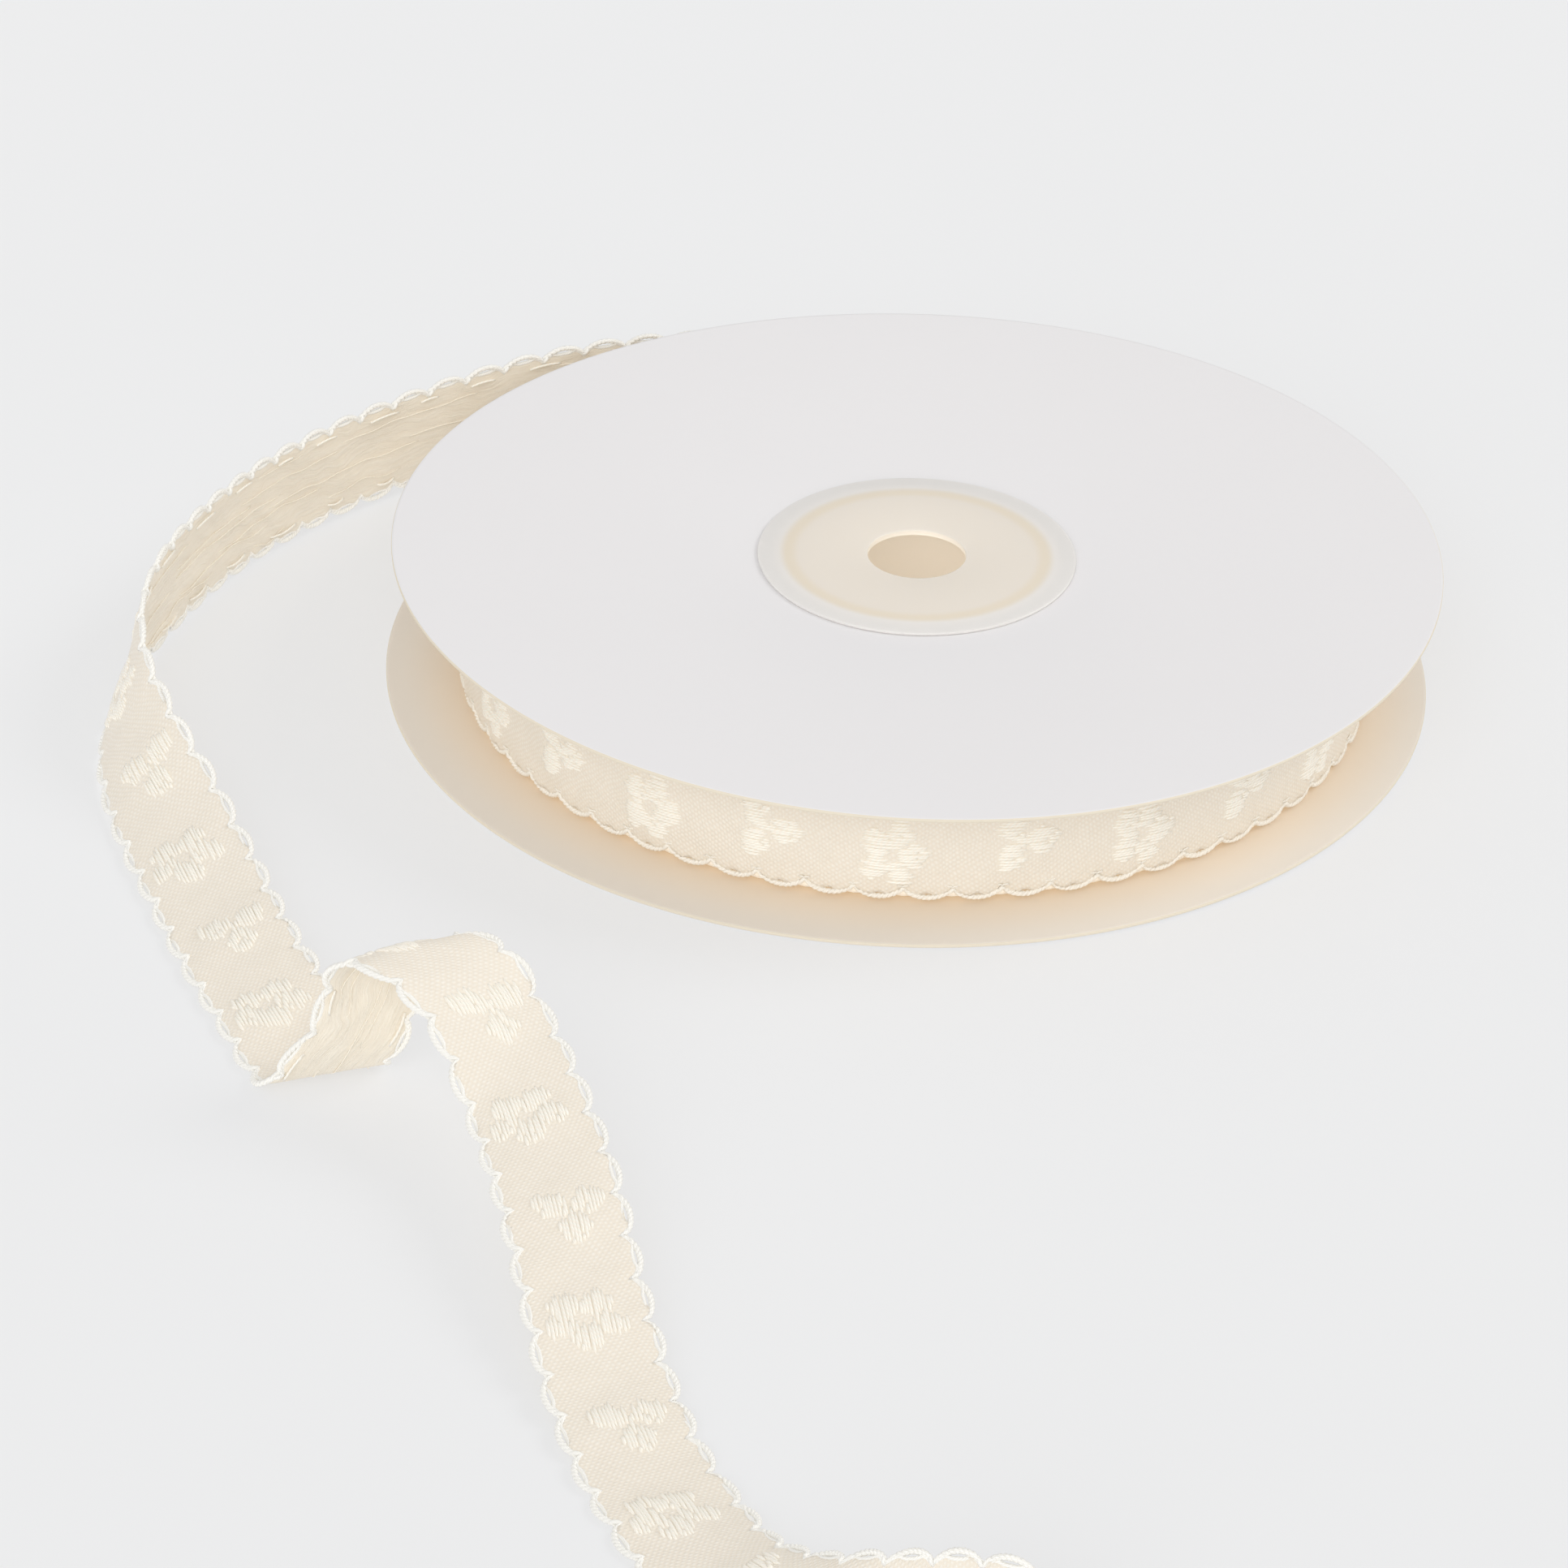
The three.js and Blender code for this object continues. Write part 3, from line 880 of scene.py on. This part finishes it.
def knot_threads(tubes, route, loops, side, trim, draw):
    """Short gathers that fan from each knot into the ground, on both faces."""
    first = int(math.ceil((route.start + GATHER_END - loops[0]) / loops[1]))
    last = int((route.end - GATHER_END - loops[0]) / loops[1])
    reach = np.linspace(0, 1, 5)
    arch = np.sin(math.pi * reach)
    for k in range(first, last + 1):
        knot = loops[0] + k * loops[1]
        for lean, inward in GATHERS:
            along = knot + lean * draw.uniform(*GATHER_LEAN_SPREAD) * (reach - GATHER_BACK)
            across = side * (KNOT_ACROSS * trim + GATHER_START - inward * reach - GATHER_BOW * arch)
            for face in (-1, 1):
                out = face * (RIBBON_THICKNESS / 2 - GATHER_SINK + GATHER_RISE * arch)
                thread(tubes, route, along, across, out, GATHER_RADIUS, sides=4)


def satin_row(tubes, route, place, stop, across, start, draw):
    """Raised threads end to end over one stretch of an ornament."""
    share = np.linspace(0, 1, 7)
    arch = np.sin(math.pi * share) ** 0.6
    while stop - place > THREAD_LEAST:
        length = min(stop - place, draw.uniform(*THREAD_LENGTH))
        if stop - place - length < THREAD_REST:
            length = stop - place
        spots = place + share * length
        wander = across + draw.uniform(-THREAD_WANDER, THREAD_WANDER)
        wander = wander + draw.uniform(-THREAD_BOW, THREAD_BOW) * arch
        out = RIBBON_THICKNESS / 2 - THREAD_SINK + draw.uniform(*THREAD_RISE) * arch
        radii = THREAD_RADIUS * (0.5 + 0.5 * arch)
        thread(tubes, route, spots, wander, out + relief(spots, across, start), radii)
        place += length + THREAD_GAP


def ornament_threads(tubes, route, start, draw):
    """Raised satin threads along the ribbon that fill each flower and sprig."""
    along = np.arange(route.start + SATIN_END, route.end - SATIN_END, SATIN_STEP)
    for across in np.arange(-SATIN_HALF, SATIN_HALF + SATIN_STEP, THREAD_PITCH):
        inside = ornament_mask(along, np.full_like(along, across), start)
        edges = np.flatnonzero(np.diff(np.concatenate([[0], inside.astype(int), [0]])))
        for first, last in edges.reshape(-1, 2):
            place = along[first] + draw.uniform(-THREAD_JITTER, THREAD_JITTER)
            stop = along[min(last, len(along) - 1)] + draw.uniform(-THREAD_JITTER, THREAD_JITTER)
            satin_row(tubes, route, place, stop, across, start, draw)


def back_threads(tubes, route, first_place, draw):
    """Long parallel threads that lie loose on the back, a little wavy low down."""
    surface = -RIBBON_THICKNESS / 2
    for across in np.arange(-BACK_HALF, BACK_HALF + BACK_PITCH / 2, BACK_PITCH):
        place = first_place + draw.uniform(*BACK_FIRST_GAP)
        calm, wavy = BACK_WAVER
        waver = calm + (wavy - calm) * smooth(*BACK_WAVER_PLACES, across)
        while place < route.end - BACK_END:
            length = min(draw.uniform(*BACK_LENGTH), route.end - BACK_END_CLEAR - place)
            share = np.linspace(0, 1, int(length / BACK_STEP) + 3)
            along = place + share * length
            arch = np.sin(math.pi * share) ** 0.4
            sway = 0
            for height, slow, fast in BACK_SWAYS:
                waves = along * draw.uniform(slow, fast) + draw.uniform(*BACK_SWAY_START)
                sway = sway + height * np.sin(waves)
            out = surface + BACK_SINK - draw.uniform(*BACK_RISE) * arch
            thread(tubes, route, along, across + waver * sway * arch, out, BACK_RADIUS, sides=4)
            place += length + draw.uniform(*BACK_GAP)


def edge_stitches(tubes, route, first_place, draw):
    """A row of bright stitches inside each edge of the back."""
    share = np.linspace(0, 1, 7)
    arch = np.sin(math.pi * share)
    out = -RIBBON_THICKNESS / 2 - STITCH_START - STITCH_RISE * arch
    for side in (-1, 1):
        place = first_place
        while place < route.end - STITCH_END:
            length = draw.uniform(*STITCH_LENGTH)
            jitter = draw.uniform(-STITCH_JITTER, STITCH_JITTER)
            across = side * (STITCH_ACROSS + jitter + STITCH_BOW * arch)
            thread(tubes, route, place + share * length, across, out, STITCH_RADIUS)
            place += length + draw.uniform(*STITCH_GAP)


def tail_yarns(route, loops, cord, gloss, back_gloss):
    """The loose end's cords, selvedges, ornament, and the threads and stitches of its back."""
    draw = np.random.default_rng(TAIL_SEED)
    cords = Tubes()
    bindings = Tubes()
    for side in (-1, 1):
        edge_cord(cords, route, loops, side, 1.0, TAIL_CORD_STEPS)
        selvedge(bindings, route, loops, TAIL_SLIT, side)
    raised = Tubes()
    ornament_threads(raised, route, TAIL_ORNAMENT_START, draw)
    behind = Tubes()
    back_threads(behind, route, TAIL_YARNS_START, draw)
    stitches = Tubes()
    edge_stitches(stitches, route, TAIL_YARNS_START, draw)
    return [
        cords.mesh("tail_edge_cords", cord),
        bindings.mesh("tail_selvedges", cord),
        raised.mesh("tail_ornament", gloss),
        behind.mesh("tail_back_threads", back_gloss),
        stitches.mesh("tail_back_stitches", gloss),
    ]


def make_tail(ground, cord, gloss, back_gloss):
    route = tail_route()
    loops = (0.0, LOOP_PITCH)
    cloth = woven_sheet("tail_cloth", route, loops, TAIL_SLIT, TAIL_ORNAMENT_START, ground)
    pieces = tail_yarns(route, loops, cord, gloss, back_gloss)
    dress(cloth, "ribbon", "ribbon_tail")
    for piece in pieces:
        dress(piece, "ribbon")


def make_roll(ground, cord, gloss, wound):
    route = roll_route()
    draw = np.random.default_rng(ROLL_SEED)
    loops = (ROLL_LOOP_START, (route.end - route.start) / ROLL_SCALLOPS)
    wall = woven_sheet("roll_last_turn", route, loops, ROLL_SLIT, ROLL_ORNAMENT_START, ground)
    cords = Tubes()
    knots = Tubes()
    for side, trim in ((-1, 1.0), (1, ROLL_CORD_TRIM)):
        edge_cord(cords, route, loops, side, trim, ROLL_CORD_STEPS)
        knot_threads(knots, route, loops, side, trim, draw)
    raised = Tubes()
    ornament_threads(raised, route, ROLL_ORNAMENT_START, draw)
    dress(wound_body(wound), "ribbon", "ribbon_roll")
    pieces = [wall, cords.mesh("roll_edge_cords", cord), knots.mesh("roll_knots", cord),
              raised.mesh("roll_ornament", gloss)]
    for piece in pieces:
        dress(piece, "ribbon")


def wound_body(material):
    """The turns inside the last one, a ring whose two sides are ridged by each turn's scalloped edge."""
    angles = full_turn(ROLL_SCALLOPS * 4)
    spoke = np.column_stack([np.cos(angles), np.sin(angles)])
    tops = []
    bottoms = []
    for k in range(SEEN_TURNS):
        scallop = np.abs(np.sin(angles * ROLL_SCALLOPS / 2 + TURN_SHIFT * k))
        for inset, share in TURN_RIDGE:
            radius = TURNS_OUTER - k * TURN_PITCH - inset
            rise = share * (RIDGE_HEIGHT + RIDGE_SCALLOP * scallop)
            top = np.interp(radius, TURN_RADII, TURN_TOPS) + rise
            bottom = np.interp(radius, TURN_RADII, TURN_BOTTOMS) - rise
            tops.append(np.column_stack([spoke * radius, top]))
            bottoms.append(np.column_stack([spoke * radius, bottom]))
    for rows, height in zip((tops, bottoms), ROLL_INNER_HEIGHTS):
        rows.append(np.column_stack([spoke * ROLL_INNER, np.full(len(angles), height)]))
    points = np.stack(tops + bottoms[::-1], 0)
    faces = grid_faces(len(points), len(angles), wrap_rows=True, wrap_columns=True, flip=True)
    depth = np.linalg.norm(points[..., :2], axis=-1)
    uvs = np.stack([np.broadcast_to(angles * ROLL_RADIUS, depth.shape), depth], -1)
    return new_mesh("roll_turns", points.reshape(-1, 3), faces, [material], uvs=uvs.reshape(-1, 2))


# Card discs

def outward_share(radius):
    """0 on the flat middle of a card, 1 at its rim."""
    return np.clip((radius - CARD_FLAT) / (CARD_RADIUS - CARD_FLAT), 0, None)


def lower_underside(radius, angle):
    """Height of the lower card, which slopes down to a rim that is lifted on one side."""
    toward = np.clip(np.cos(angle - LOWER_LIFT_ANGLE), 0, None)
    rim = LOWER_RIM_UNDERSIDE + LOWER_LIFT * toward**LOWER_LIFT_FALLOFF
    share = outward_share(radius)
    return LOWER_HEIGHT_NEAR_HUB * (1 - share) + rim * share


def upper_underside(radius, angle):
    """Height of the upper card, which is dished, tilted and a little saddle-shaped."""
    tilt = UPPER_TILT[0] * np.cos(angle) + UPPER_TILT[1] * np.sin(angle)
    saddle = UPPER_SADDLE[0] * np.cos(2 * angle) + UPPER_SADDLE[1] * np.sin(2 * angle)
    rim = UPPER_RIM_TOP + tilt + saddle - CARD_THICKNESS
    share = 1 - (1 - outward_share(radius)) ** 2
    return UPPER_HEIGHT_NEAR_HUB * (1 - share) + rim * share


def card_disc(name, underside, offset, top_material, under_material, edge_material):
    """A thin disc with a hole, its cut edges slightly rounded and of their own colour."""
    angles = full_turn(CARD_STEPS)
    bands = [CARD_HOLE, CARD_HOLE + CARD_ROUND, *np.linspace(*CARD_BANDS),
             CARD_RADIUS - CARD_TRIM, CARD_RADIUS - CARD_ROUND, CARD_RADIUS]
    last = len(bands) - 1
    rounding = [CARD_ROUND if index in (0, last) else 0.0 for index in range(last + 1)]
    rows = [(radius, CARD_THICKNESS - inset) for radius, inset in zip(bands, rounding)]
    rows += [(radius, inset) for radius, inset in zip(bands[::-1], rounding[::-1])]
    top, under, edge = 0, 1, 2
    roles = [edge] + [top] * (last - 2) + [edge] * 3 + [under] * (last - 2) + [edge] * 2
    points = []
    for radius, height in rows:
        z = underside(np.full(CARD_STEPS, radius), angles) + height
        points.append(np.column_stack([radius * np.cos(angles) + offset[0],
                                       radius * np.sin(angles) + offset[1], z]))
    faces = grid_faces(len(rows), CARD_STEPS, wrap_rows=True, wrap_columns=True)
    return new_mesh(name, np.vstack(points), faces, [top_material, under_material, edge_material],
                    np.repeat(roles, CARD_STEPS))


# Hub

def rounded(outline, amount):
    """The closed outline with each corner cut back into a short three-point round."""
    result = []
    count = len(outline)
    for i, corner in enumerate(outline):
        corner = np.array(corner, float)
        before = np.array(outline[i - 1], float) - corner
        after = np.array(outline[(i + 1) % count], float) - corner
        for share in (0.0, 0.5, 1.0):
            away_before = before / np.linalg.norm(before) * amount * (1 - share) ** 2
            away_after = after / np.linalg.norm(after) * amount * share**2
            result.append(corner + away_before + away_after)
    return result


def hub_outline():
    """Half section of the hub: bore, plates, drum and the thin flange over the upper card."""
    inside = DRUM_RADIUS - DRUM_WALL
    top = HUB_HEIGHT
    under = top - PLATE_THICKNESS
    return [
        (BORE_RADIUS, 0.0), (PLATE_RADIUS, 0.0), (PLATE_RADIUS, PLATE_THICKNESS),
        (DRUM_RADIUS, PLATE_THICKNESS), (DRUM_RADIUS, top - FLANGE_THICKNESS),
        (PLATE_RADIUS, top - FLANGE_THICKNESS), (PLATE_RADIUS, top), (BORE_RADIUS, top),
        (BORE_RADIUS, under), (inside, under), (inside, PLATE_THICKNESS), (BORE_RADIUS, PLATE_THICKNESS),
    ]


def hub_body(material):
    section = rounded(hub_outline(), PLATE_ROUND)
    angles = full_turn(HUB_STEPS)
    points = []
    uvs = []
    for radius, height in section:
        points.append(np.column_stack([radius * np.cos(angles), radius * np.sin(angles),
                                       np.full(HUB_STEPS, height)]))
        uvs.append(np.column_stack([np.full(HUB_STEPS, radius), angles * HUB_UNROLL_RADIUS]))
    faces = grid_faces(len(section), HUB_STEPS, wrap_rows=True, wrap_columns=True, flip=True)
    return new_mesh("hub_drum", np.vstack(points), faces, [material], uvs=np.vstack(uvs))


# Surroundings

def add_floor():
    mesh = bpy.data.meshes.new("table")
    reach = TABLE_REACH * MM
    mesh.from_pydata([(-reach, -reach, 0), (reach, -reach, 0), (reach, reach, 0), (-reach, reach, 0)],
                     [], [(0, 1, 2, 3)])
    material, tree, shader = material_base("table_white", TABLE_TONES[0], 0.6, specular=0.2)
    mottle = noise(tree, object_place(tree), Scale=12.0, Detail=4.0)
    tree.links.new(mix_colors(tree, mottle, *TABLE_TONES), shader.inputs["Base Color"])
    add_own_glow(shader, TABLE_GLOW, (*WHITE, 1.0))
    mesh.materials.append(material)
    table = bpy.data.objects.new("table", mesh)
    link(table)


def add_sun(name, azimuth, elevation, spread, power, color):
    """A wide soft source, its azimuth counted from the right side towards the back."""
    data = bpy.data.lights.new(name, "SUN")
    data.energy = power
    data.angle = math.radians(spread)
    data.color = color
    light = bpy.data.objects.new(name, data)
    light.rotation_euler = (math.radians(90 - elevation), 0, math.radians(90 + azimuth))
    link(light)


def add_hub_lamp():
    """A small lamp in the drum, for the light that the frosted plastic lets through."""
    data = bpy.data.lights.new("through_the_plastic", "POINT")
    data.energy = HUB_LAMP_POWER
    data.shadow_soft_size = HUB_LAMP_RADIUS * MM
    data.color = HUB_LAMP_COLOR
    lamp = bpy.data.objects.new("through_the_plastic", data)
    lamp.location = ((AXIS + np.array([0, 0, HUB_HEIGHT / 2])) * MM).tolist()
    lamp.visible_camera = False
    link(lamp)


def add_lights():
    world = bpy.data.worlds.new("studio")
    world.use_nodes = True
    background = world.node_tree.nodes["Background"]
    background.inputs["Color"].default_value = (*WHITE, 1.0)
    background.inputs["Strength"].default_value = STUDIO_STRENGTH
    bpy.context.scene.world = world
    for name, settings in SUNS.items():
        add_sun(name, *settings)
    add_hub_lamp()


def add_camera():
    data = bpy.data.cameras.new("camera")
    data.sensor_width = SENSOR
    data.lens = SENSOR * FOCAL_PIXELS / FRAME_PIXELS
    data.clip_start, data.clip_end = (reach * MM for reach in CAMERA_REACH)
    camera = bpy.data.objects.new("camera", data)
    sine, cosine = math.sin(CAMERA_ELEVATION), math.cos(CAMERA_ELEVATION)
    right = np.array([1.0, 0.0, 0.0])
    up = np.array([0.0, sine, cosine])
    back = np.array([0.0, -cosine, sine])
    pose = np.eye(4)
    pose[:3, 0] = math.cos(CAMERA_ROLL) * right + math.sin(CAMERA_ROLL) * up
    pose[:3, 1] = -math.sin(CAMERA_ROLL) * right + math.cos(CAMERA_ROLL) * up
    pose[:3, 2] = back
    pose[:3, 3] = (np.array(CAMERA_PLACE) + AXIS) * MM
    camera.matrix_world = Matrix(pose.tolist())
    link(camera)
    bpy.context.scene.camera = camera


add_camera()
add_floor()
add_lights()
bpy.context.scene.view_settings.view_transform = "Standard"

ribbon_front = woven_material("ribbon_front", *FRONT)
ribbon_back = combed_material("ribbon_back", *BACK)
ribbon_cord = yarn_material("ribbon_cord", *CORD)
ribbon_roll_cord = yarn_material("ribbon_roll_cord", *ROLL_CORD)
ribbon_gloss = yarn_material("ribbon_gloss", *GLOSS)
# The wound turns glow warmly: painted bounce light that lifts the shade under the winding
ribbon_wound = yarn_material("ribbon_wound", *CORD, WOUND_GLOW, WOUND_GLOW_COLOR)
ribbon_back_gloss = yarn_material("ribbon_back_gloss", *BACK_GLOSS)
card_white = card_material("card_white", *CARD_WHITE)
# The cream faces carry painted bounce light and shade next to the winding
card_cream = card_material("card_cream", *CARD_CREAM, CARD_PAINTED_BOUNCE)
card_edge = card_material("card_edge", *CARD_CUT)
hub_frost = hub_material("hub_frost")

make_tail([ribbon_front, ribbon_back], ribbon_cord, ribbon_gloss, ribbon_back_gloss)
make_roll([ribbon_front, ribbon_back], ribbon_roll_cord, ribbon_gloss, ribbon_wound)
dress(card_disc("card_lower", lower_underside, LOWER_OFFSET, card_cream, card_white, card_edge),
      "card", "flange_lower")
dress(card_disc("card_upper", upper_underside, UPPER_OFFSET, card_white, card_cream, card_edge),
      "card", "flange_upper")
dress(hub_body(hub_frost), "hub_plastic", "hub")
